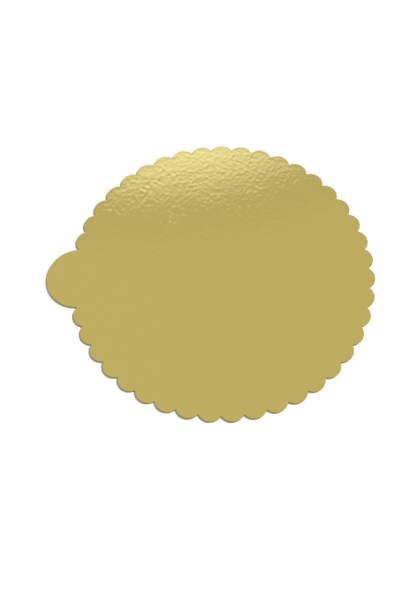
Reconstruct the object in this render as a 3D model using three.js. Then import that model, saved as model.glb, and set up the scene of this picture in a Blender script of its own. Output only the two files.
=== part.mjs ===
// Scalloped cake board with a pull tab: one sheet of foil-faced card, cut out with a steel-rule die.
// Millimetres, +Z up. The origin is the centre of the scalloped circle on the underside, the foil
// faces up, and the tab points along -X.

import * as THREE from "three";
import { toCreasedNormals } from "three/addons/utils/BufferGeometryUtils.js";

// Driving dimensions
const tipDiameter = 300; // across the tips of opposite scallops
const scallopDepth = 5.8; // from the circle through the notches out to a scallop's tip
const scallopCount = 40; // equal scallops on the stretch that the tab leaves free
const tabWidth = 62.7; // between the two notches that the tab springs from
const tabProjection = 22; // how far the tab stands out past the scallops' tips
const notchRadius = 0.6; // inside corner that the bend of the cutting rule leaves in each notch
const cardThickness = 1.5; // foil, card and backing together
const shoulderRadius = 0.35; // rounding pressed into the edge of the foil face by the cut
const arcTolerance = 0.05; // how far a flat facet may stray from its true arc

// Finish of the foil
const foilColour = 0xbdab60;
const foilRoughness = 0.3;
const foilMetalness = 1;
const creaseAngle = THREE.MathUtils.degToRad(30); // edges turning more than this are drawn sharp

// Sizes that follow from the driving dimensions
const tabDirection = Math.PI;
const tipCircleRadius = tipDiameter / 2;
const notchCircleRadius = tipCircleRadius - scallopDepth;
const tabHalfSpan = Math.asin(tabWidth / 2 / notchCircleRadius);

/** The point that lies at a distance from the board's centre, in a direction given in radians. */
function pointAt(distance, direction) {
  return new THREE.Vector2(Math.cos(direction), Math.sin(direction)).multiplyScalar(distance);
}

/** How many equal chords keep to an arc of this radius and turn within the arc tolerance. */
function chordCount(radius, turn) {
  const sagitta = Math.min(arcTolerance / radius, 1);
  const turnPerChord = 2 * Math.acos(1 - sagitta);
  return Math.ceil(Math.abs(turn) / turnPerChord);
}

/**
 * One lobe of the outline: the circle through its two notches and its tip.
 * The half span is the angle from the lobe's middle to either notch, seen from the board's centre.
 */
function lobe(direction, halfSpan, tipDistance) {
  const halfChord = notchCircleRadius * Math.sin(halfSpan);
  const rise = tipDistance - notchCircleRadius * Math.cos(halfSpan);
  const radius = (halfChord ** 2 + rise ** 2) / (2 * rise);
  return { radius, centre: pointAt(tipDistance - radius, direction) };
}

/** Every lobe in counter-clockwise order: the tab, and then the scallops on the rest of the circle. */
function lobesRoundBoard() {
  const tab = lobe(tabDirection, tabHalfSpan, tipCircleRadius + tabProjection);
  const scallopHalfSpan = (Math.PI - tabHalfSpan) / scallopCount;
  const scallops = Array.from({ length: scallopCount }, (_, place) => {
    const direction = tabDirection + tabHalfSpan + (2 * place + 1) * scallopHalfSpan;
    return lobe(direction, scallopHalfSpan, tipCircleRadius);
  });
  return [tab, ...scallops];
}

/**
 * The inside corner where one lobe meets the next: a circle of the notch radius that touches both
 * lobes from outside, so its centre is one notch radius away from each of them.
 */
function notchBetween(before, after) {
  const fromBefore = before.radius + notchRadius;
  const fromAfter = after.radius + notchRadius;
  const along = after.centre.clone().sub(before.centre);
  const spacing = along.length();
  along.normalize();
  const outward = new THREE.Vector2(along.y, -along.x);
  const alongDistance = (spacing ** 2 + fromBefore ** 2 - fromAfter ** 2) / (2 * spacing);
  const outwardDistance = Math.sqrt(fromBefore ** 2 - alongDistance ** 2);
  const centre = before.centre
    .clone()
    .addScaledVector(along, alongDistance)
    .addScaledVector(outward, outwardDistance);
  return { radius: notchRadius, centre };
}

/**
 * The points of one arc, without its last, each with the direction that faces away from the card.
 * The arc starts on the line to one point and ends on the line to another. It runs
 * counter-clockwise round a lobe (bulge 1) and clockwise round a notch (bulge -1).
 */
function arcPoints(circle, startTowards, endTowards, bulge) {
  const startAngle = startTowards.clone().sub(circle.centre).angle();
  const endAngle = endTowards.clone().sub(circle.centre).angle();
  const turn = bulge * THREE.MathUtils.euclideanModulo(bulge * (endAngle - startAngle), 2 * Math.PI);
  const chords = chordCount(circle.radius, turn);
  return Array.from({ length: chords }, (_, step) => {
    const spoke = pointAt(1, startAngle + (turn * step) / chords);
    const position = circle.centre.clone().addScaledVector(spoke, circle.radius);
    return { position, outward: spoke.multiplyScalar(bulge) };
  });
}

/** The whole outline at the underside, counter-clockwise, with lobes and notches meeting smoothly. */
function boardOutline() {
  const lobes = lobesRoundBoard();
  const notches = lobes.map((each, place) => notchBetween(each, lobes[(place + 1) % lobes.length]));
  return lobes.flatMap((each, place) => {
    const next = lobes[(place + 1) % lobes.length];
    const notchBefore = notches.at(place - 1);
    const notchAfter = notches[place];
    return [
      ...arcPoints(each, notchBefore.centre, notchAfter.centre, 1),
      ...arcPoints(notchAfter, each.centre, next.centre, -1),
    ];
  });
}

/**
 * The section of the cut edge, from its sharp foot up the straight cut and over the pressed
 * shoulder to the foil face. Each point is an inset from the outline and a height.
 */
function edgeSection() {
  const quarterTurn = Math.PI / 2;
  const chords = chordCount(shoulderRadius, quarterTurn);
  const shoulder = Array.from({ length: chords + 1 }, (_, step) => {
    const angle = (quarterTurn * step) / chords;
    return {
      inset: shoulderRadius * (1 - Math.cos(angle)),
      height: cardThickness - shoulderRadius * (1 - Math.sin(angle)),
    };
  });
  return [{ inset: 0, height: 0 }, ...shoulder];
}

/** The closed skin: the edge section carried round the outline, with a flat face below and above. */
function boardGeometry(outline, section) {
  const rings = section.map(({ inset, height }) =>
    outline.map(({ position, outward }) => {
      const moved = position.clone().addScaledVector(outward, -inset);
      return new THREE.Vector3(moved.x, moved.y, height);
    }),
  );
  const ringSize = outline.length;
  const topStart = (rings.length - 1) * ringSize;

  const walls = rings.slice(1).flatMap((_, ring) =>
    outline.flatMap((__, place) => {
      const low = ring * ringSize + place;
      const lowNext = ring * ringSize + ((place + 1) % ringSize);
      const high = low + ringSize;
      const highNext = lowNext + ringSize;
      return [low, lowNext, highNext, low, highNext, high];
    }),
  );
  const underside = THREE.ShapeUtils.triangulateShape(rings[0], []).flatMap(([a, b, c]) => [a, c, b]);
  const foilFace = THREE.ShapeUtils.triangulateShape(rings.at(-1), []).flat();

  const geometry = new THREE.BufferGeometry().setFromPoints(rings.flat());
  geometry.setIndex([...walls, ...underside, ...foilFace.map((corner) => corner + topStart)]);
  return toCreasedNormals(geometry, creaseAngle);
}

/** The board as one named mesh in its foil finish. */
function cakeBoard() {
  const foil = new THREE.MeshStandardMaterial({
    name: "gold_foil",
    color: foilColour,
    roughness: foilRoughness,
    metalness: foilMetalness,
  });
  const mesh = new THREE.Mesh(boardGeometry(boardOutline(), edgeSection()), foil);
  mesh.name = "cake_board";
  return mesh;
}

const board = new THREE.Group();
board.name = "scalloped_cake_board";
board.add(cakeBoard());

export default board;
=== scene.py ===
"""Looks of a scalloped cake board with a pull tab, cut from gold-foil-faced card.

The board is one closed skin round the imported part: a foil face with the shallow grain that
film takes from the card below it, a rounded shoulder, a cut edge that shows the card's plies
and a plain paper back. Metres, +Z up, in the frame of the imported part.
"""

import logging
import math
from dataclasses import dataclass, field
from enum import Enum

import bpy
import numpy as np
from mathutils import Matrix, Vector


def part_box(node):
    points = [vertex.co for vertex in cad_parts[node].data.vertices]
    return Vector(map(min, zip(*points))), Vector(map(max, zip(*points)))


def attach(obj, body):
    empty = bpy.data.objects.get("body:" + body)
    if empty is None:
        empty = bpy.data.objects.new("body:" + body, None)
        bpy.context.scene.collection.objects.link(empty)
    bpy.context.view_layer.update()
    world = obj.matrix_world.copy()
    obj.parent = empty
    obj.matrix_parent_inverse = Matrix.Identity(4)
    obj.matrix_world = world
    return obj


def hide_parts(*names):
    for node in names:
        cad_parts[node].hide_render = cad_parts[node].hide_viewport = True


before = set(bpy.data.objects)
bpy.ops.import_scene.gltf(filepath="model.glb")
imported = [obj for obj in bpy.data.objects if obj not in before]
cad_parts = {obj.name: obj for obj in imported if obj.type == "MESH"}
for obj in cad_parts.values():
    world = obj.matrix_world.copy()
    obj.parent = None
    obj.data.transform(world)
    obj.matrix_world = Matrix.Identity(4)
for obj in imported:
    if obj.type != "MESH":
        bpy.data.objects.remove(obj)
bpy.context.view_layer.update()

log = logging.getLogger("cake_board")

NODE = "cake_board"
BODY = "root"
MILLIMETRE = 0.001

Colour = tuple[float, float, float]
Value = bpy.types.NodeSocket | float | tuple[float, float, float]


class Face(Enum):
    """The three surfaces of the board, in the order of the mesh's material slots."""

    FOIL = 0
    CUT_EDGE = 1
    BACK = 2


@dataclass
class Circle:
    """A circle of the outline: a lobe's own circle or the one that rounds a notch.

    Args:
        centre: place of its centre in the plane of the board, in metres.
        radius: its radius, in metres.
    """

    centre: np.ndarray
    radius: float


@dataclass
class BoardOutline:
    """The die's outline: equal scallops round a circle and one wider lobe, the tab.

    Args:
        tip_radius: from the board's centre to a scallop's tip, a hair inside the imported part.
        scallop_depth: from the circle through the notches out to a scallop's tip.
        scallop_count: scallops on the stretch that the tab leaves free.
        tab_width: between the two notches that the tab springs from.
        tab_projection: how far the tab stands out past the scallops' tips.
        notch_radius: inside corner in each notch.
        tab_direction: direction of the tab's middle, in radians.
        scallop_points: points along each scallop.
        tab_points: points along the tab.
        notch_points: points round each notch.
    """

    tip_radius: float = 149.99 * MILLIMETRE
    scallop_depth: float = 5.8 * MILLIMETRE
    scallop_count: int = 40
    tab_width: float = 62.7 * MILLIMETRE
    tab_projection: float = 22 * MILLIMETRE
    notch_radius: float = 0.6 * MILLIMETRE
    tab_direction: float = math.pi
    scallop_points: int = 20
    tab_points: int = 52
    notch_points: int = 4

    @property
    def notch_circle_radius(self) -> float:
        """Radius of the circle through all the notches."""
        return self.tip_radius - self.scallop_depth

    @property
    def tab_half_span(self) -> float:
        """Half of the angle that the tab takes up, seen from the board's centre."""
        return math.asin(self.tab_width / 2 / self.notch_circle_radius)

    def lobe(self, direction: float, half_span: float, tip_distance: float) -> Circle:
        """Makes the circle through a lobe's two notches and its tip.

        With half chord c and rise h, the circle through both ends and the top of an arc has
        the radius (c squared + h squared) / (2 h).

        Args:
            direction: angle of the lobe's middle, seen from the board's centre.
            half_span: angle from the middle to either notch.
            tip_distance: from the board's centre to the lobe's tip.

        Returns:
            The lobe's circle.
        """
        half_chord = self.notch_circle_radius * math.sin(half_span)
        rise = tip_distance - self.notch_circle_radius * math.cos(half_span)
        radius = (half_chord**2 + rise**2) / (2 * rise)
        return Circle((tip_distance - radius) * unit(direction), radius)

    def lobes(self) -> tuple[list[Circle], np.ndarray]:
        """Makes every lobe counter-clockwise, the tab first.

        Returns:
            The lobes, and the angle at which each of them starts, with one more at the end
            that is a full turn after the first.
        """
        tab_span = 2 * self.tab_half_span
        scallop_span = (2 * math.pi - tab_span) / self.scallop_count
        start = self.tab_direction - self.tab_half_span
        edges = start + np.concatenate(
            [[0.0], tab_span + scallop_span * np.arange(self.scallop_count + 1)]
        )
        tab = self.lobe(
            self.tab_direction, self.tab_half_span, self.tip_radius + self.tab_projection
        )
        scallops = [
            self.lobe(edge + scallop_span / 2, scallop_span / 2, self.tip_radius)
            for edge in edges[1:-1]
        ]
        return [tab, *scallops], edges

    def notch(self, before: Circle, after: Circle) -> Circle:
        """Makes the circle that touches two neighbouring lobes from outside.

        Its centre is where the two lobes, each grown by the notch radius, cross.

        Args:
            before: the lobe before the notch.
            after: the lobe after the notch.

        Returns:
            The notch's circle.
        """
        from_before = before.radius + self.notch_radius
        from_after = after.radius + self.notch_radius
        between = after.centre - before.centre
        spacing = float(np.hypot(*between))
        along = between / spacing
        outward = np.array([along[1], -along[0]])
        reach = (spacing**2 + from_before**2 - from_after**2) / (2 * spacing)
        height = math.sqrt(from_before**2 - reach**2)
        return Circle(before.centre + reach * along + height * outward, self.notch_radius)

    @staticmethod
    def arc(
        circle: Circle, start: np.ndarray, end: np.ndarray, bulge: int, count: int
    ) -> tuple[np.ndarray, np.ndarray]:
        """Places points along an arc, without its last.

        Each point is centre + radius * spoke, where the spoke turns evenly from the line
        to start to the line to end: counter-clockwise round a lobe, clockwise round a notch.

        Args:
            circle: the circle that the arc is part of.
            start: a point on the line through the arc's start.
            end: a point on the line through the arc's end.
            bulge: 1 for a lobe and -1 for a notch.
            count: how many points.

        Returns:
            The points, and at each of them the unit direction away from the card.
        """
        first = math.atan2(*(start - circle.centre)[::-1])
        last = math.atan2(*(end - circle.centre)[::-1])
        turn = bulge * ((bulge * (last - first)) % (2 * math.pi))
        spokes = unit(first + turn * np.arange(count) / count)
        return circle.centre + circle.radius * spokes, bulge * spokes

    def sample(self) -> tuple[np.ndarray, np.ndarray, np.ndarray]:
        """Works out the whole outline, counter-clockwise.

        Returns:
            The points, the unit directions away from the card, and for each point the angle
            of the matching point on a plain inner circle, which grows evenly over each lobe.
        """
        lobes, edges = self.lobes()
        following = lobes[1:] + lobes[:1]
        notches = [self.notch(a, b) for a, b in zip(lobes, following)]
        arcs, counts = [], []
        for place, (lobe, after) in enumerate(zip(lobes, following)):
            count = self.tab_points if place == 0 else self.scallop_points
            before, notch = notches[place - 1], notches[place]
            arcs.append(self.arc(lobe, before.centre, notch.centre, 1, count))
            arcs.append(self.arc(notch, lobe.centre, after.centre, -1, self.notch_points))
            counts.append(count + self.notch_points)
        points = np.concatenate([places for places, _ in arcs])
        outward = np.concatenate([directions for _, directions in arcs])
        starts = np.cumsum([0, *counts, counts[0]])
        turned_edges = np.append(edges, edges[1] + 2 * math.pi)
        half_notch = self.notch_points / 2
        angles = np.interp(np.arange(len(points)) + half_notch, starts, turned_edges)
        return points, outward, angles


def unit(angle: float | np.ndarray) -> np.ndarray:
    """Unit directions in the plane of the board for an angle, or for each of many."""
    return np.stack([np.cos(angle), np.sin(angle)], axis=-1)


@dataclass
class FilmGrain:
    """The shallow grain of film laminated on card, as heights below the flat face.

    Two layers of noise are added: a soft swell, and fine wrinkles. Each starts as white noise
    on a square lattice passed through a band of wavelengths. The swell n has its peaks raised
    to n + p n cubed. A wrinkle is a low ridge along the line where such a noise n crosses
    zero, with the height exp(-(n / w) squared) for the wrinkle's share w of the noise's
    spread. Both are stronger in some patches than in others, by exp(q m) for a slow noise m
    and the patchiness q. The lattice is read by bilinear interpolation.

    Args:
        swell_wavelength: middle of the swell's band.
        peak_share: how much the swell's peaks are raised, p.
        wrinkle_wavelengths: middles of the bands of the noises whose zero lines wrinkle.
        wrinkle_width: width of a wrinkle as a share of its noise's spread.
        wrinkle_share: share of the wrinkles in the whole height.
        patch_wavelength: middle of the band of the slow noise that makes patches.
        patchiness: how much stronger the grain is in some patches, q.
        band: width of each band in octaves, as one standard deviation.
        depth: standard deviation of the height.
        deepest: how many standard deviations the heights are kept within.
        reach: half of the side of the square that the lattice covers.
        lattice: points along each side of the lattice.
        seed: seed of the noise.
        heights: the lattice of heights, which is worked out.
    """

    swell_wavelength: float = 5.6 * MILLIMETRE
    peak_share: float = 0.2
    wrinkle_wavelengths: tuple[float, float] = (11.8 * MILLIMETRE, 8.6 * MILLIMETRE)
    wrinkle_width: float = 0.62
    wrinkle_share: float = 0.68
    patch_wavelength: float = 45 * MILLIMETRE
    patchiness: float = 0.16
    band: float = 0.58
    depth: float = 0.012 * MILLIMETRE
    deepest: float = 4.0
    reach: float = 180 * MILLIMETRE
    lattice: int = 1024
    seed: int = 11
    heights: np.ndarray = field(init=False, repr=False)

    def __post_init__(self) -> None:
        """Fills the lattice: the swell, the wrinkles and the patches, drawn in that order."""
        random = np.random.default_rng(self.seed)
        swell = self.band_noise(random, self.swell_wavelength)
        swell += self.peak_share * swell**3
        wrinkles = sum(
            np.exp(-((self.band_noise(random, wavelength) / self.wrinkle_width) ** 2))
            for wavelength in self.wrinkle_wavelengths
        )
        wrinkles = (wrinkles - wrinkles.mean()) / wrinkles.std()
        mixed = (1 - self.wrinkle_share) * swell / swell.std() + self.wrinkle_share * wrinkles
        mixed *= np.exp(self.patchiness * self.band_noise(random, self.patch_wavelength))
        self.heights = self.depth * np.clip(mixed / mixed.std(), -self.deepest, self.deepest)

    def band_noise(self, random: np.random.Generator, wavelength: float) -> np.ndarray:
        """Makes noise with waves of about one length.

        Every wave of white noise is weighted by a bell curve over the octaves between its
        length and the wanted one, and divided by its frequency.

        Args:
            random: the source of the white noise.
            wavelength: the wanted length.

        Returns:
            The lattice of the noise, with a standard deviation of 1.
        """
        noise = random.standard_normal((self.lattice, self.lattice))
        waves = np.fft.fftfreq(self.lattice, 2 * self.reach / self.lattice)
        frequency = np.hypot(*np.meshgrid(waves, waves))
        frequency[0, 0] = waves[1]
        octaves = np.log2(frequency * wavelength)
        weight = np.exp(-0.5 * (octaves / self.band) ** 2) / frequency
        filtered = np.fft.ifft2(np.fft.fft2(noise) * weight).real
        return filtered / filtered.std()

    def below_face(self, places: np.ndarray) -> np.ndarray:
        """Reads how far the film lies below the flat face.

        Args:
            places: points in the plane of the board, one row each.

        Returns:
            A depth for each point, never negative.
        """
        spots = (places + self.reach) / (2 * self.reach) * self.lattice
        low = np.floor(spots).astype(int)
        share = spots - low
        low %= self.lattice
        high = (low + 1) % self.lattice
        across, up = share[:, 0], share[:, 1]
        near = self.heights[low[:, 1], low[:, 0]] * (1 - across)
        near += self.heights[low[:, 1], high[:, 0]] * across
        far = self.heights[high[:, 1], low[:, 0]] * (1 - across)
        far += self.heights[high[:, 1], high[:, 0]] * across
        return self.depth * self.deepest - near * (1 - up) - far * up


def feed(tree: bpy.types.NodeTree, socket: bpy.types.NodeSocket, value: Value) -> None:
    """Gives an input its value.

    Args:
        tree: the nodes that the input belongs to.
        socket: the input.
        value: an output to link it to, or a fixed number or vector.
    """
    if isinstance(value, bpy.types.NodeSocket):
        tree.links.new(value, socket)
    else:
        socket.default_value = value


def math_node(
    tree: bpy.types.NodeTree, operation: str, first: Value, second: Value = 0.0, third: Value = 0.0
) -> bpy.types.NodeSocket:
    """Adds a Math node.

    Args:
        tree: the nodes to add it to.
        operation: what it works out.
        first: its first input.
        second: its second input, where the operation has one.
        third: its third input, where the operation has one.

    Returns:
        The result's output.
    """
    node = tree.nodes.new("ShaderNodeMath")
    node.operation = operation
    for socket, value in zip(node.inputs, (first, second, third)):
        feed(tree, socket, value)
    return node.outputs[0]


def vector_node(
    tree: bpy.types.NodeTree, operation: str, first: Value, second: Value = (0.0, 0.0, 0.0)
) -> bpy.types.NodeOutputs:
    """Adds a Vector Math node.

    Args:
        tree: the nodes to add it to.
        operation: what it works out.
        first: its first input.
        second: its second input, where the operation has one.

    Returns:
        Its outputs: Vector, and Value for a length or a dot product.
    """
    node = tree.nodes.new("ShaderNodeVectorMath")
    node.operation = operation
    feed(tree, node.inputs[0], first)
    feed(tree, node.inputs[1], second)
    return node.outputs


def mix_node(
    tree: bpy.types.NodeTree, share: Value, first: Value, second: Value
) -> bpy.types.NodeSocket:
    """Adds a Mix node for numbers.

    Args:
        tree: the nodes to add it to.
        share: share of the second number in the mix.
        first: the mix at a share of 0.
        second: the mix at a share of 1.

    Returns:
        The mix's output.
    """
    node = tree.nodes.new("ShaderNodeMix")
    for label, value in (("Factor", share), ("A", first), ("B", second)):
        feed(tree, node.inputs[label], value)
    return node.outputs["Result"]


def map_range(
    tree: bpy.types.NodeTree, value: Value, low: float, high: float, to_low: float, to_high: float
) -> bpy.types.NodeSocket:
    """Adds a clamped Map Range node.

    Args:
        tree: the nodes to add it to.
        value: the number to carry over.
        low: what is carried to to_low.
        high: what is carried to to_high.
        to_low: the result at low and past it.
        to_high: the result at high and past it.

    Returns:
        The result's output.
    """
    node = tree.nodes.new("ShaderNodeMapRange")
    labels = ("Value", "From Min", "From Max", "To Min", "To Max")
    for label, given in zip(labels, (value, low, high, to_low, to_high)):
        feed(tree, node.inputs[label], given)
    return node.outputs[0]


def noise_node(
    tree: bpy.types.NodeTree,
    place: bpy.types.NodeSocket,
    scale: Value,
    detail: float,
    roughness: float,
    distortion: float = 0.0,
) -> bpy.types.NodeSocket:
    """Adds a Noise Texture node.

    Args:
        tree: the nodes to add it to.
        place: where the noise is read.
        scale: its waves per metre.
        detail: how many finer layers it has.
        roughness: how strong those are.
        distortion: how far its waves are bent.

    Returns:
        The output of its value, from 0 to 1.
    """
    node = tree.nodes.new("ShaderNodeTexNoise")
    labels = ("Vector", "Scale", "Detail", "Roughness", "Distortion")
    for label, value in zip(labels, (place, scale, detail, roughness, distortion)):
        feed(tree, node.inputs[label], value)
    return node.outputs["Fac"]


def seen_straight(tree: bpy.types.NodeTree) -> bpy.types.NodeSocket:
    """Gives 1 to rays from the camera, from mirrors and through glass, and 0 to the rest.

    Args:
        tree: the nodes of a material or of the world.

    Returns:
        The value's output.
    """
    path = tree.nodes.new("ShaderNodeLightPath").outputs
    either = math_node(tree, "MAXIMUM", path["Is Camera Ray"], path["Is Glossy Ray"])
    return math_node(tree, "MAXIMUM", either, path["Is Transmission Ray"])


def paper_fibre_group() -> bpy.types.NodeTree:
    """Builds the paper fibre group: long soft fibres crossing fine specks.

    The pattern is the mean of noise stretched along X and the same stretched along Y, so
    that it looks woven at random, mixed with an even noise that is three times as fine.

    Returns:
        The group. Its Fibre output runs from 0 to 1 and follows Object coordinates.
    """
    group = bpy.data.node_groups.new("paper_fibre", "ShaderNodeTree")
    for label, value in (("Scale", 400.0), ("Stretch", 5.0), ("Speck", 0.35)):
        socket = group.interface.new_socket(label, in_out="INPUT", socket_type="NodeSocketFloat")
        socket.default_value = value
    group.interface.new_socket("Fibre", in_out="OUTPUT", socket_type="NodeSocketFloat")
    given = group.nodes.new("NodeGroupInput").outputs
    place = group.nodes.new("ShaderNodeTexCoord").outputs["Object"]
    shrink = math_node(group, "DIVIDE", 1.0, given["Stretch"])
    stretched = []
    for axis in range(2):
        squeeze = group.nodes.new("ShaderNodeCombineXYZ")
        for each, socket in enumerate(squeeze.inputs):
            feed(group, socket, shrink if each == axis else 1.0)
        squeezed = vector_node(group, "MULTIPLY", place, squeeze.outputs[0])["Vector"]
        stretched.append(
            noise_node(group, squeezed, given["Scale"], detail=2.0, roughness=0.5, distortion=0.6)
        )
    crossed = mix_node(group, 0.5, *stretched)
    finer = math_node(group, "MULTIPLY", given["Scale"], 3.0)
    specks = noise_node(group, place, finer, detail=3.0, roughness=0.6)
    fibre = mix_node(group, given["Speck"], crossed, specks)
    group.links.new(fibre, group.nodes.new("NodeGroupOutput").inputs["Fibre"])
    return group


@dataclass(frozen=True)
class Finish:
    """A finish whose pattern, here the paper's fibres, both colours and embosses it.

    Args:
        name: the material's name.
        roughness: the surface's own roughness.
        dark: colour where the pattern is low.
        pale: colour where the pattern is high.
        dark_to: value of the pattern up to which the surface is dark.
        pale_from: value of the pattern from which it is pale.
        fibre_scale: fineness of the fibres, in waves per metre.
        fibre_stretch: how many times longer than wide they are.
        fibre_speck: share of the fine specks among them.
        relief: height that a value of 1 of the pattern stands for.
        relief_strength: share of the relief that is used.
    """

    name: str
    roughness: float
    dark: Colour
    pale: Colour
    dark_to: float
    pale_from: float
    fibre_scale: float
    fibre_stretch: float
    fibre_speck: float
    relief: float
    relief_strength: float

    def fibres(
        self, tree: bpy.types.NodeTree, fibre_group: bpy.types.NodeTree
    ) -> bpy.types.NodeSocket:
        """Places the paper fibre group in the material with the finish's own values.

        Args:
            tree: the material's nodes.
            fibre_group: the paper fibre group.

        Returns:
            The output of the fibres.
        """
        node = tree.nodes.new("ShaderNodeGroup")
        node.node_tree = fibre_group
        node.inputs["Scale"].default_value = self.fibre_scale
        node.inputs["Stretch"].default_value = self.fibre_stretch
        node.inputs["Speck"].default_value = self.fibre_speck
        return node.outputs["Fibre"]

    def pattern(
        self, tree: bpy.types.NodeTree, fibres: bpy.types.NodeSocket
    ) -> bpy.types.NodeSocket:
        """Makes the pattern, which is the fibres and nothing else."""
        return fibres

    def tint(
        self, tree: bpy.types.NodeTree, pattern: bpy.types.NodeSocket
    ) -> bpy.types.NodeSocket:
        """Turns the pattern into a colour, from dark to pale.

        Args:
            tree: the material's nodes.
            pattern: the pattern's output.

        Returns:
            The colour's output.
        """
        node = tree.nodes.new("ShaderNodeValToRGB")
        stops = ((self.dark_to, self.dark), (self.pale_from, self.pale))
        for element, (position, colour) in zip(node.color_ramp.elements, stops):
            element.position = position
            element.color = (*colour, 1.0)
        tree.links.new(pattern, node.inputs["Fac"])
        return node.outputs["Color"]

    def emboss(
        self, tree: bpy.types.NodeTree, pattern: bpy.types.NodeSocket
    ) -> bpy.types.NodeSocket:
        """Turns the pattern into a normal, as a low relief.

        Args:
            tree: the material's nodes.
            pattern: the pattern's output.

        Returns:
            The normal's output.
        """
        node = tree.nodes.new("ShaderNodeBump")
        node.inputs["Distance"].default_value = self.relief
        node.inputs["Strength"].default_value = self.relief_strength
        tree.links.new(pattern, node.inputs["Height"])
        return node.outputs["Normal"]

    def material(self, fibre_group: bpy.types.NodeTree) -> bpy.types.Material:
        """Builds the material.

        Args:
            fibre_group: the paper fibre group.

        Returns:
            The material.
        """
        material = bpy.data.materials.new(self.name)
        material.use_nodes = True
        tree = material.node_tree
        inputs = tree.nodes["Principled BSDF"].inputs
        inputs["Roughness"].default_value = self.roughness
        pattern = self.pattern(tree, self.fibres(tree, fibre_group))
        tree.links.new(self.tint(tree, pattern), inputs["Base Color"])
        tree.links.new(self.emboss(tree, pattern), inputs["Normal"])
        return material


@dataclass(frozen=True)
class FoilFinish(Finish):
    """Gold film under clear lacquer: a metal with a thin coat, and the card's fibres below.

    Args:
        glancing: tint of what it mirrors at a glancing angle.
        coat_weight: share of the lacquer's own reflection.
        coat_roughness: roughness of the lacquer.
    """

    name: str = "gold_foil"
    roughness: float = 0.07
    dark: Colour = (0.5, 0.397, 0.104)
    pale: Colour = (0.522, 0.419, 0.114)
    dark_to: float = 0.3
    pale_from: float = 0.7
    fibre_scale: float = 420.0
    fibre_stretch: float = 3.0
    fibre_speck: float = 0.3
    relief: float = 0.012 * MILLIMETRE
    relief_strength: float = 1.0
    glancing: Colour = (0.8, 0.68, 0.34)
    coat_weight: float = 0.25
    coat_roughness: float = 0.08

    def material(self, fibre_group: bpy.types.NodeTree) -> bpy.types.Material:
        """Builds the material, as a metal under lacquer.

        Args:
            fibre_group: the paper fibre group.

        Returns:
            The material.
        """
        material = super().material(fibre_group)
        inputs = material.node_tree.nodes["Principled BSDF"].inputs
        inputs["Metallic"].default_value = 1.0
        inputs["Specular Tint"].default_value = (*self.glancing, 1.0)
        inputs["Coat Weight"].default_value = self.coat_weight
        inputs["Coat Roughness"].default_value = self.coat_roughness
        return material


@dataclass(frozen=True)
class CutEdgeFinish(Finish):
    """The cut edge of grey card: plies in darker and paler lines, torn fibres between them.

    Args:
        ply_height: thickness of one ply.
        ply_share: how much a ply adds to the fibres, or takes from them.
        waviness: how far a ply's line strays up and down.
    """

    name: str = "cut_card"
    roughness: float = 0.9
    dark: Colour = (0.2, 0.15, 0.08)
    pale: Colour = (0.52, 0.43, 0.27)
    dark_to: float = 0.25
    pale_from: float = 0.75
    fibre_scale: float = 900.0
    fibre_stretch: float = 2.0
    fibre_speck: float = 0.5
    relief: float = 0.05 * MILLIMETRE
    relief_strength: float = 1.0
    ply_height: float = 0.3 * MILLIMETRE
    ply_share: float = 0.2
    waviness: float = 0.12 * MILLIMETRE

    def pattern(
        self, tree: bpy.types.NodeTree, fibres: bpy.types.NodeSocket
    ) -> bpy.types.NodeSocket:
        """Makes the pattern: the plies on top of the fibres.

        The plies are a sine of the height over the table, which the fibres shift.

        Args:
            tree: the material's nodes.
            fibres: the output of the fibres.

        Returns:
            The pattern's output.
        """
        place = tree.nodes.new("ShaderNodeSeparateXYZ")
        tree.links.new(tree.nodes.new("ShaderNodeTexCoord").outputs["Object"], place.inputs[0])
        shifted = math_node(tree, "MULTIPLY_ADD", fibres, self.waviness, place.outputs["Z"])
        phase = math_node(tree, "MULTIPLY", shifted, 2 * math.pi / self.ply_height)
        plies = math_node(tree, "SINE", phase)
        return math_node(tree, "MULTIPLY_ADD", plies, self.ply_share, fibres)


@dataclass(frozen=True)
class BackPaperFinish(Finish):
    """The plain back of grey card: mottled fibres and a few dark specks."""

    name: str = "grey_back"
    roughness: float = 0.85
    dark: Colour = (0.4, 0.365, 0.305)
    pale: Colour = (0.56, 0.52, 0.45)
    dark_to: float = 0.3
    pale_from: float = 0.65
    fibre_scale: float = 260.0
    fibre_stretch: float = 2.2
    fibre_speck: float = 0.4
    relief: float = 0.04 * MILLIMETRE
    relief_strength: float = 0.8


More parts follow.
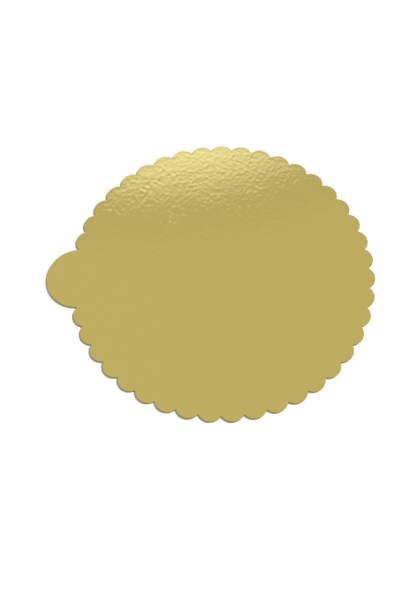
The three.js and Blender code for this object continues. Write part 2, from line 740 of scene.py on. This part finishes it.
@dataclass
class CakeBoard:
    """The board itself: one closed skin in three finishes.

    Args:
        outline: the die's outline.
        grain: the grain of the foil face.
        thickness: from the table to the foil face.
        shoulder_radius: rounding of the foil face's edge.
        shoulder_steps: bands over the shoulder.
        inner_radius: of the circle inside which the foil face is an even grid.
        band_rings: rings of the foil face from that circle to the shoulder.
        turn_power: how late the grid's rings turn to meet the scallops.
        fade_power: how late the grain fades on the way out to the shoulder.
        sharp_angle: angle between faces past which their edge is sharp, in degrees.
        vertices: the mesh's vertices so far, in blocks.
        faces: its faces so far, in blocks.
        face_kinds: the kind of each of those faces, in blocks.
    """

    outline: BoardOutline
    grain: FilmGrain
    thickness: float
    shoulder_radius: float = 0.35 * MILLIMETRE
    shoulder_steps: int = 4
    inner_radius: float = 134 * MILLIMETRE
    band_rings: int = 16
    turn_power: int = 4
    fade_power: int = 8
    sharp_angle: float = 50.0
    vertices: list[np.ndarray] = field(default_factory=list, init=False)
    faces: list[np.ndarray] = field(default_factory=list, init=False)
    face_kinds: list[np.ndarray] = field(default_factory=list, init=False)

    def grid_places(self, angles: np.ndarray) -> tuple[np.ndarray, np.ndarray]:
        """Lays an even square grid inside the inner circle.

        A grid point of the square (a, b), each from -1 to 1, goes to max(|a|, |b|) of the
        inner radius. Its square ring is 8 long, counted from the corner (1, -1), and its
        place along the ring gives its angle. The outermost ring meets the outline's inner
        angles, and rings nearer the centre turn back to even spacing.

        Args:
            angles: the inner angle of each outline point, a quarter of them on each side.

        Returns:
            The grid's places, and the grid numbers of the outermost ring in outline order.
        """
        ring_size = len(angles)
        side = ring_size // 4
        steps = np.linspace(-1, 1, side + 1)
        a, b = np.meshgrid(steps, steps)
        size = np.maximum(np.abs(a), np.abs(b))
        safe = np.where(size == 0, 1, size)
        right = (a >= np.abs(b)) & (b < size)
        top = (b >= np.abs(a)) & (a > -size)
        left = (-a >= np.abs(b)) & (b > -size)
        along = np.select(
            [right, top, left],
            [b / safe, 2 - a / safe, 4 - b / safe],
            default=6 + a / safe,
        )
        ring_place = ((along + 1) % 8) / 8 * ring_size
        around = np.arange(ring_size + 1)
        closed = np.append(angles, angles[0] + 2 * math.pi)
        spacing = 2 * math.pi / ring_size
        turn = np.interp(ring_place, around, closed - (angles[0] + around * spacing))
        angle = angles[0] + ring_place * spacing + turn * size**self.turn_power
        places = self.inner_radius * size[..., None] * unit(angle)
        numbers = np.arange((side + 1) ** 2).reshape(side + 1, side + 1)
        rim = np.concatenate(
            [numbers[:-1, -1], numbers[-1, :0:-1], numbers[:0:-1, 0], numbers[0, :-1]]
        )
        return places.reshape(-1, 2), rim

    def add_vertices(self, places: np.ndarray, heights: np.ndarray | float) -> np.ndarray:
        """Adds vertices and returns their numbers.

        Args:
            places: places in the plane of the board.
            heights: height over the table, one for all or one each.

        Returns:
            The new vertices' numbers.
        """
        start = sum(len(block) for block in self.vertices)
        heights = np.broadcast_to(heights, len(places))
        self.vertices.append(np.column_stack([places, heights]))
        return np.arange(start, start + len(places))

    def add_faces(self, corners: np.ndarray, kind: Face) -> None:
        """Adds faces of one kind, one row of vertex numbers each."""
        self.faces.append(corners)
        self.face_kinds.append(np.full(len(corners), kind.value))

    def add_band(self, inner: np.ndarray, outer: np.ndarray, kind: Face) -> None:
        """Joins two rings of vertices with quads that face away from the card.

        Args:
            inner: the ring nearer the middle of the foil face.
            outer: the next ring out, over the shoulder and down.
            kind: the finish of the band.
        """
        quads = np.column_stack([inner, outer, np.roll(outer, -1), np.roll(inner, -1)])
        self.add_faces(quads, kind)

    def foil_face(self, points: np.ndarray, outward: np.ndarray, angles: np.ndarray) -> np.ndarray:
        """Adds the foil face up to the start of the shoulder.

        Past the inner circle, each ring lies at a share s of the straight way from that
        circle to the shoulder, and its grain is multiplied by 1 - s to the fade power.

        Args:
            points: the outline at the underside.
            outward: directions away from the card.
            angles: inner angle of each outline point.

        Returns:
            The numbers of the vertices round the face.
        """
        places, rim = self.grid_places(angles)
        numbers = self.add_vertices(places, self.thickness - self.grain.below_face(places))
        side = len(angles) // 4
        square = numbers.reshape(side + 1, side + 1)
        corners = [square[:-1, :-1], square[:-1, 1:], square[1:, 1:], square[1:, :-1]]
        quads = np.stack(corners, axis=-1)
        self.add_faces(quads.reshape(-1, 4), Face.FOIL)
        ring = numbers[rim]
        inner = self.inner_radius * unit(angles)
        edge = points - self.shoulder_radius * outward
        for step in range(1, self.band_rings + 1):
            share = step / self.band_rings
            places = inner + share * (edge - inner)
            fade = 1 - share**self.fade_power
            heights = self.thickness - fade * self.grain.below_face(places)
            following = self.add_vertices(places, heights)
            self.add_band(ring, following, Face.FOIL)
            ring = following
        return ring

    def shoulder_and_cut(
        self, ring: np.ndarray, points: np.ndarray, outward: np.ndarray
    ) -> np.ndarray:
        """Adds the rounded shoulder and the cut edge below it.

        A point of the shoulder at the angle t from the top lies r (1 - sin t) in from the
        outline and r (1 - cos t) below the foil face, for the shoulder's radius r.

        Args:
            ring: vertices round the foil face.
            points: the outline at the underside.
            outward: directions away from the card.

        Returns:
            The vertices round the underside.
        """
        radius = self.shoulder_radius
        for step in range(1, self.shoulder_steps + 1):
            angle = math.pi / 2 * step / self.shoulder_steps
            places = points - radius * (1 - math.sin(angle)) * outward
            following = self.add_vertices(places, self.thickness - radius * (1 - math.cos(angle)))
            self.add_band(ring, following, Face.FOIL)
            ring = following
        foot = self.add_vertices(points, 0.0)
        self.add_band(ring, foot, Face.CUT_EDGE)
        return foot

    def underside(self, foot: np.ndarray, angles: np.ndarray) -> None:
        """Adds the flat back: a band in to the inner circle, and a fan to the centre.

        Args:
            foot: vertices round the underside.
            angles: inner angle of each outline point.
        """
        ring = self.add_vertices(self.inner_radius * unit(angles), 0.0)
        self.add_band(foot, ring, Face.BACK)
        centre = self.add_vertices(np.zeros((1, 2)), 0.0)
        fan = np.column_stack([ring, np.full(len(ring), centre[0]), np.roll(ring, -1)])
        self.add_faces(fan, Face.BACK)

    def build(self, finishes: dict[Face, bpy.types.Material]) -> bpy.types.Object:
        """Builds the closed mesh and dresses it.

        Args:
            finishes: a material for each kind of face.

        Returns:
            The board's object.
        """
        points, outward, angles = self.outline.sample()
        ring = self.foil_face(points, outward, angles)
        foot = self.shoulder_and_cut(ring, points, outward)
        self.underside(foot, angles)
        mesh = bpy.data.meshes.new("scalloped_board")
        corners = [face for block in self.faces for face in block.tolist()]
        mesh.from_pydata(np.concatenate(self.vertices).tolist(), [], corners)
        for kind in Face:
            mesh.materials.append(finishes[kind])
        mesh.polygons.foreach_set("material_index", np.concatenate(self.face_kinds))
        mesh.polygons.foreach_set("use_smooth", np.ones(len(mesh.polygons), dtype=bool))
        mesh.set_sharp_from_angle(angle=math.radians(self.sharp_angle))
        mesh.validate()
        mesh.update()
        board = bpy.data.objects.new("scalloped_board", mesh)
        bpy.context.scene.collection.objects.link(board)
        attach(board, BODY)
        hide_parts(NODE)
        return board


@dataclass
class PhotoCamera:
    """The camera at the photograph's viewing angle.

    Args:
        thickness: height of the foil face, at which it aims.
        elevation: how steeply it looks down, in degrees.
        azimuth: how far it stands round from -Y, in degrees.
        roll: how far it leans, in degrees.
        distance: from the point that it aims at.
        aim: that point on the foil face.
        focal_pixels: focal length in pixels.
        picture: width and height of the picture in pixels.
        film_height: height of the camera's film, in millimetres.
        sight_end: how far it sees, in metres.
    """

    thickness: float
    elevation: float = 65.70
    azimuth: float = 1.54
    roll: float = -3.32
    distance: float = 779.4 * MILLIMETRE
    aim: tuple[float, float] = (-21.26 * MILLIMETRE, -28.77 * MILLIMETRE)
    focal_pixels: float = 806.35
    picture: tuple[int, int] = (401, 601)
    film_height: float = 36.0
    sight_end: float = 100.0

    def matrix(self) -> Matrix:
        """Works out its place: aimed, stepped back along its own axis, then leaned.

        Returns:
            The camera's matrix.
        """
        aimed = Matrix.Translation((*self.aim, self.thickness))
        turned = Matrix.Rotation(math.radians(self.azimuth), 4, "Z")
        tilted = Matrix.Rotation(math.radians(90 - self.elevation), 4, "X")
        leaned = Matrix.Rotation(math.radians(self.roll), 4, "Z")
        back = Matrix.Translation((0, 0, self.distance))
        return aimed @ turned @ tilted @ leaned @ back

    def build(self) -> None:
        """Adds the camera and makes it the scene's own."""
        data = bpy.data.cameras.new("camera")
        data.sensor_width = self.film_height
        data.lens = self.focal_pixels / self.picture[1] * self.film_height
        data.clip_end = self.sight_end
        camera = bpy.data.objects.new("camera", data)
        camera.matrix_world = self.matrix()
        bpy.context.scene.collection.objects.link(camera)
        bpy.context.scene.camera = camera


@dataclass
class Floor:
    """The plain pale floor, which isn't part of the board.

    Args:
        half_side: half of its side, in metres.
        grey: its grey level.
        glow: what the camera and mirrors see on top of its own light.
    """

    half_side: float = 20.0
    grey: float = 0.9
    glow: float = 0.08

    def build(self) -> None:
        """Adds the floor.

        Its white for the camera comes from its own colour and from a little glow that only
        the camera and mirrors see, so the board's shadow stays on it.
        """
        half = self.half_side
        corners = [(-half, -half, 0), (half, -half, 0), (half, half, 0), (-half, half, 0)]
        mesh = bpy.data.meshes.new("floor")
        mesh.from_pydata(corners, [], [(0, 1, 2, 3)])
        mesh.materials.append(self.material())
        floor = bpy.data.objects.new("floor", mesh)
        bpy.context.scene.collection.objects.link(floor)

    def material(self) -> bpy.types.Material:
        """Makes the floor's matt white.

        Returns:
            The material.
        """
        material = bpy.data.materials.new("floor_white")
        material.use_nodes = True
        tree = material.node_tree
        inputs = tree.nodes["Principled BSDF"].inputs
        inputs["Base Color"].default_value = (self.grey, self.grey, self.grey, 1.0)
        inputs["Roughness"].default_value = 1.0
        inputs["Specular IOR Level"].default_value = 0.0
        inputs["Emission Color"].default_value = (1.0, 1.0, 1.0, 1.0)
        glow = math_node(tree, "MULTIPLY", seen_straight(tree), self.glow)
        tree.links.new(glow, inputs["Emission Strength"])
        return material


@dataclass
class KeyLamp:
    """The far soft key lamp, behind and to the right, which the foil doesn't mirror.

    Args:
        direction: where it stands, seen from the board.
        width: how wide it looks from there, in degrees.
        strength: the light that falls straight on a surface, in watts per square metre.
    """

    direction: tuple[float, float, float] = (1.2, 0.9, 1.1)
    width: float = 9.0
    strength: float = 4.1

    def build(self) -> None:
        """Adds the lamp."""
        data = bpy.data.lights.new("key", "SUN")
        data.angle = math.radians(self.width)
        data.energy = self.strength
        lamp = bpy.data.objects.new("key", data)
        lamp.rotation_euler = Vector(self.direction).to_track_quat("Z", "Y").to_euler()
        lamp.visible_glossy = False
        bpy.context.scene.collection.objects.link(lamp)


@dataclass
class Room:
    """The room round the board: white to the camera, and soft lights that mirrors show.

    Args:
        camera: the camera, in whose picture the window's mirror image is placed.
        fill_strength: even light that falls on rough surfaces.
        window_middle: the pixel in which the foil, were it larger, would mirror its middle.
        window_radii: half of its width and of its height, in pixels of that mirror image.
        window_lean: how far its width leans down to the right there, in degrees.
        window_excess: how much brighter than the room its middle is.
        window_tint: its colour.
        shade_depth: how much darker than the room the window's surround is.
        shade_reach: where that shade ends, as a multiple of the window's radii.
        slope: how much brighter the room is to the left, and darker to the right.
        slope_span: where that change starts and ends, as shares of the window's radius.
        side_lights: how many soft lights stand round the board, for its other sides.
        side_light_start: azimuth of the first of them, in degrees.
        side_light_rows: their elevations in turn, in degrees.
        side_light_reach: from the middle of one to its rim, in degrees.
        side_light_excess: how much brighter than the room its middle is.
        least_ahead: smallest part of a direction along the mirrored view that is divided by.
    """

    camera: PhotoCamera
    fill_strength: float = 0.26
    window_middle: tuple[float, float] = (196.0, 78.5)
    window_radii: tuple[float, float] = (233.0, 126.0)
    window_lean: float = -11.6
    window_excess: float = 2.1
    window_tint: Colour = (0.87, 1.0, 1.85)
    shade_depth: float = 0.11
    shade_reach: float = 1.34
    slope: float = 0.013
    slope_span: tuple[float, float] = (-0.5, 0.45)
    side_lights: int = 8
    side_light_start: float = 8.0
    side_light_rows: tuple[float, float] = (14.0, 25.0)
    side_light_reach: float = 11.0
    side_light_excess: float = 1.3
    least_ahead: float = 0.001

    def mirror_place(
        self, tree: bpy.types.NodeTree, direction: bpy.types.NodeSocket
    ) -> bpy.types.NodeSocket:
        """Works out which pixel's sight line goes on in a direction of the world.

        The foil face is a mirror, so a sight line through a pixel goes on in the direction
        x X + y Y + f Z, where x and y are the pixel's place from the picture's middle, f is
        the focal length, X and Y are the directions of the window's width and height in the
        picture and Z is that of the view, all three mirrored in the face. For a direction
        d, the pixel is therefore found from d.X / d.Z and d.Y / d.Z.

        Args:
            tree: the world's nodes.
            direction: the direction in the world.

        Returns:
            The pixel's place from the window's middle, with the window's rim at length 1.
        """
        focal = self.camera.focal_pixels
        to_world = self.camera.matrix().to_3x3()
        lean = math.radians(self.window_lean)
        width = Vector((math.cos(lean), -math.sin(lean), 0))
        height = Vector((-math.sin(lean), -math.cos(lean), 0))
        parts = []
        for axis in (width, height, Vector((0, 0, -1))):
            straight = to_world @ axis
            mirrored = (straight.x, straight.y, -straight.z)
            parts.append(vector_node(tree, "DOT_PRODUCT", direction, mirrored)["Value"])
        ahead = math_node(tree, "MAXIMUM", parts[2], self.least_ahead)
        right = self.window_middle[0] - self.camera.picture[0] / 2
        up = self.camera.picture[1] / 2 - self.window_middle[1]
        middle = Vector((right, up, 0))
        joined = tree.nodes.new("ShaderNodeCombineXYZ")
        for side, (axis, radius) in enumerate(zip((width, height), self.window_radii)):
            seen = math_node(tree, "DIVIDE", parts[side], ahead)
            centred = math_node(tree, "SUBTRACT", seen, axis.dot(middle) / focal)
            spread = math_node(tree, "MULTIPLY", centred, focal / radius)
            tree.links.new(spread, joined.inputs[side])
        return joined.outputs[0]

    def shade(
        self, tree: bpy.types.NodeTree, place: bpy.types.NodeSocket, distance: bpy.types.NodeSocket
    ) -> bpy.types.NodeSocket:
        """Works out the room's slow changes: darker close to the window and to the right.

        Args:
            tree: the world's nodes.
            place: the place from the window's middle.
            distance: its length.

        Returns:
            The brightness of the room, about 1.
        """
        near = map_range(tree, distance, 1.0, self.shade_reach, 1 - self.shade_depth, 1.0)
        split = tree.nodes.new("ShaderNodeSeparateXYZ")
        tree.links.new(place, split.inputs[0])
        across = map_range(
            tree, split.outputs["X"], *self.slope_span, 1 + self.slope, 1 - self.slope
        )
        return math_node(tree, "MULTIPLY", near, across)

    def side_light(
        self, tree: bpy.types.NodeTree, direction: bpy.types.NodeSocket, number: int
    ) -> bpy.types.NodeSocket:
        """Works out the brightness of one of the round soft lights round the board.

        The angle between a direction and the light's middle has their dot product as its
        cosine. The brightness falls evenly with that angle.

        Args:
            tree: the world's nodes.
            direction: the direction in the world.
            number: which light, counted counter-clockwise.

        Returns:
            The light's brightness in that direction.
        """
        around = math.radians(self.side_light_start + 360 * number / self.side_lights)
        up = math.radians(self.side_light_rows[number % len(self.side_light_rows)])
        middle = (*(math.cos(up) * unit(around)), math.sin(up))
        cosine = vector_node(tree, "DOT_PRODUCT", direction, middle)["Value"]
        angle = math_node(tree, "ARCCOSINE", cosine)
        rim = math.radians(self.side_light_reach)
        return map_range(tree, angle, rim, 0.0, 0.0, self.side_light_excess)

    def build(self) -> None:
        """Makes the world.

        Its strength is 1 to the camera, the fill to rough surfaces, and to mirrors 1 with
        the room's shade and the side lights. Mirrors also see the window, whose brightness
        falls evenly from its middle to its oval rim.
        """
        world = bpy.data.worlds.new("studio")
        bpy.context.scene.world = world
        world.use_nodes = True
        tree = world.node_tree
        direction = tree.nodes.new("ShaderNodeTexCoord").outputs["Generated"]
        mirrored = tree.nodes.new("ShaderNodeLightPath").outputs["Is Glossy Ray"]
        place = self.mirror_place(tree, direction)
        distance = vector_node(tree, "LENGTH", place)["Value"]
        straight = map_range(tree, seen_straight(tree), 0.0, 1.0, self.fill_strength, 1.0)
        shade = mix_node(tree, mirrored, 1.0, self.shade(tree, place, distance))
        strength = math_node(tree, "MULTIPLY", straight, shade)
        for number in range(self.side_lights):
            light = self.side_light(tree, direction, number)
            strength = math_node(tree, "MULTIPLY_ADD", light, mirrored, strength)
        window = map_range(tree, distance, 1.0, 0.0, 0.0, self.window_excess)
        shown = math_node(tree, "MULTIPLY", window, mirrored)
        room_light = tree.nodes["Background"]
        room_light.inputs["Color"].default_value = (1.0, 1.0, 1.0, 1.0)
        tree.links.new(strength, room_light.inputs["Strength"])
        window_light = tree.nodes.new("ShaderNodeBackground")
        window_light.inputs["Color"].default_value = (*self.window_tint, 1.0)
        tree.links.new(shown, window_light.inputs["Strength"])
        both = tree.nodes.new("ShaderNodeAddShader")
        tree.links.new(room_light.outputs[0], both.inputs[0])
        tree.links.new(window_light.outputs[0], both.inputs[1])
        tree.links.new(both.outputs[0], tree.nodes["World Output"].inputs["Surface"])


def main() -> None:
    """Builds the camera, the studio and the board, in that order."""
    logging.basicConfig(level=logging.INFO, format="%(name)s: %(message)s")
    lowest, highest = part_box(NODE)
    thickness = highest.z - lowest.z
    camera = PhotoCamera(thickness)
    camera.build()
    Floor().build()
    Room(camera).build()
    KeyLamp().build()
    bpy.context.scene.view_settings.view_transform = "Standard"

    fibre = paper_fibre_group()
    finishes = {
        Face.FOIL: FoilFinish().material(fibre),
        Face.CUT_EDGE: CutEdgeFinish().material(fibre),
        Face.BACK: BackPaperFinish().material(fibre),
    }
    board = CakeBoard(BoardOutline(), FilmGrain(), thickness).build(finishes)
    faces = len(board.data.polygons)
    log.info("%s: %d faces, %.1f mm thick", board.name, faces, thickness / MILLIMETRE)


if __name__ == "__main__":
    main()
